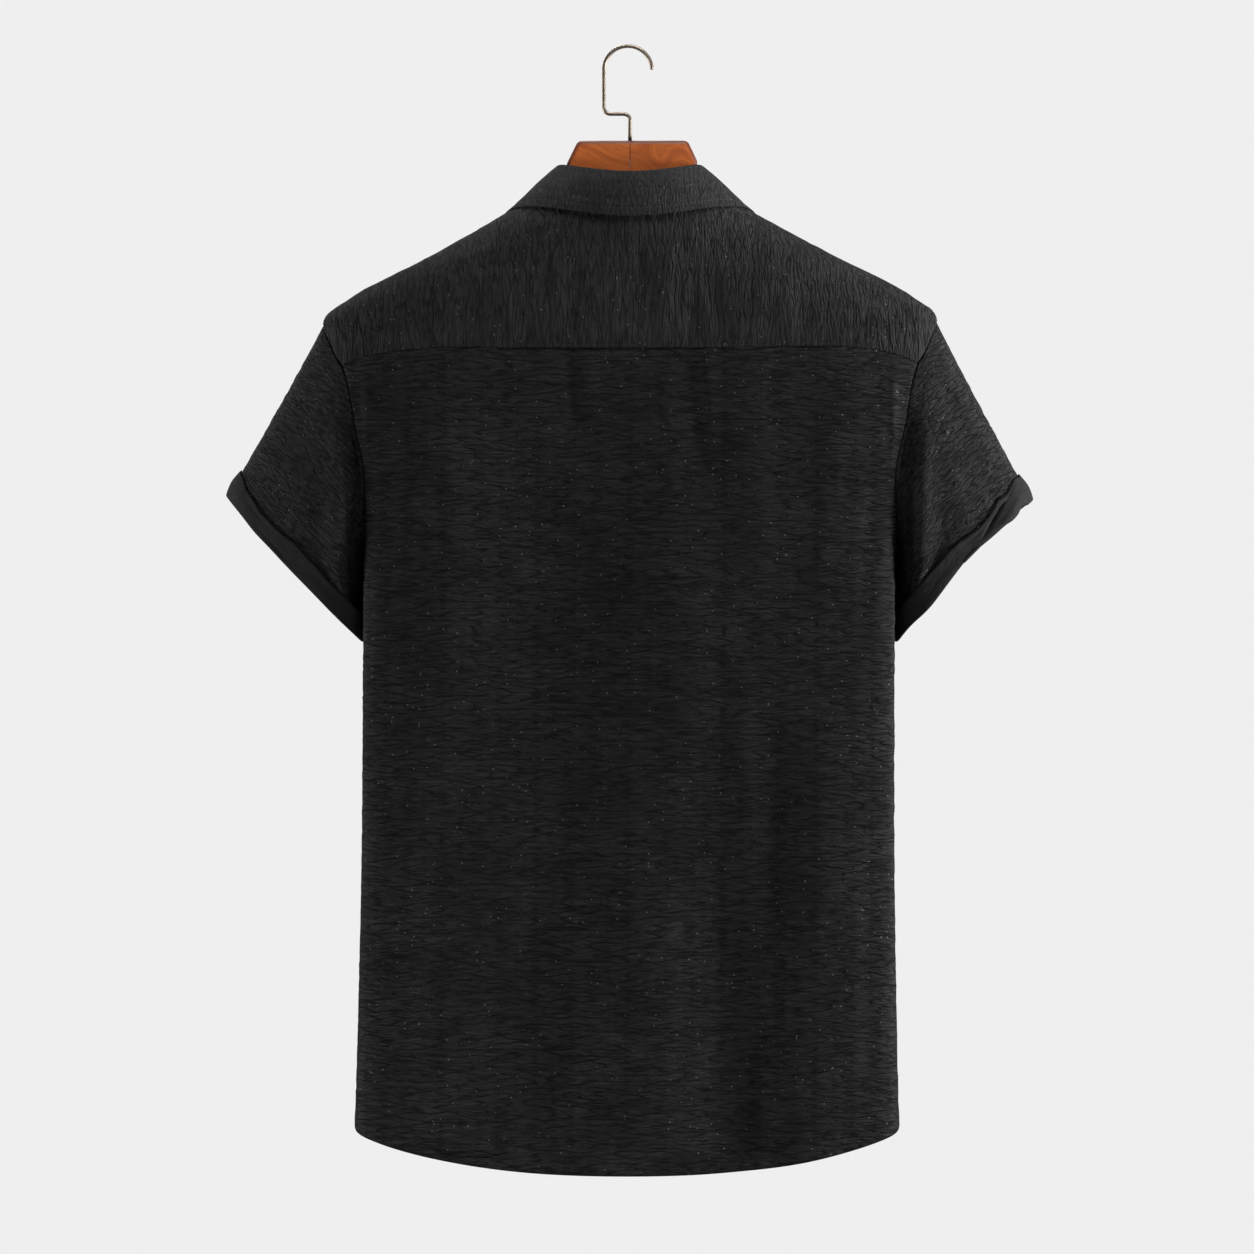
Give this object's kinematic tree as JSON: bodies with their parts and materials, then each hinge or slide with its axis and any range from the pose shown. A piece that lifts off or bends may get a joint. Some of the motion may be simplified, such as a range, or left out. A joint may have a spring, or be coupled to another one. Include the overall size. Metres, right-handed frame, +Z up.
{
  "type": "short sleeve shirt on a wooden hanger",
  "caption": "Black crinkle-cloth short sleeve casual shirt with a turned-down collar, back yoke, turned-up cuffs and a curved hem, hanging buttoned on a wooden hanger with a wire hook.",
  "frame": {"origin": "inner top of the hanger's hook, where a rail carries it", "axes": "+Z up, +Y from the back of the shirt towards its buttoned front, +X along the hanger towards the wearer's right"},
  "size_m": [0.6293, 0.1344, 0.878],
  "materials": {
    "crinkle_cloth": "matte black crinkled crepe with fine creases and small slubs",
    "button": "black moulded resin, softly glossy",
    "hanger_wood": "red-brown stained and lacquered, with darker rounded edges",
    "hook_wire": "drawn wire with a warm dull nickel plating"
  },
  "bodies": {
    "root": {"back_panel": "crinkle_cloth", "back_yoke": "crinkle_cloth", "front_left": "crinkle_cloth", "front_right": "crinkle_cloth", "sleeve_left": "crinkle_cloth", "sleeve_right": "crinkle_cloth", "cuff_left": "crinkle_cloth", "cuff_right": "crinkle_cloth", "collar_stand": "crinkle_cloth", "collar": "crinkle_cloth", "button_1": "button", "button_2": "button", "button_3": "button", "button_4": "button", "button_5": "button", "button_6": "button", "button_7": "button", "hanger_half_left": "hanger_wood", "hanger_half_right": "hanger_wood", "hanger_hook": "hook_wire"}
  },
  "joints": []
}
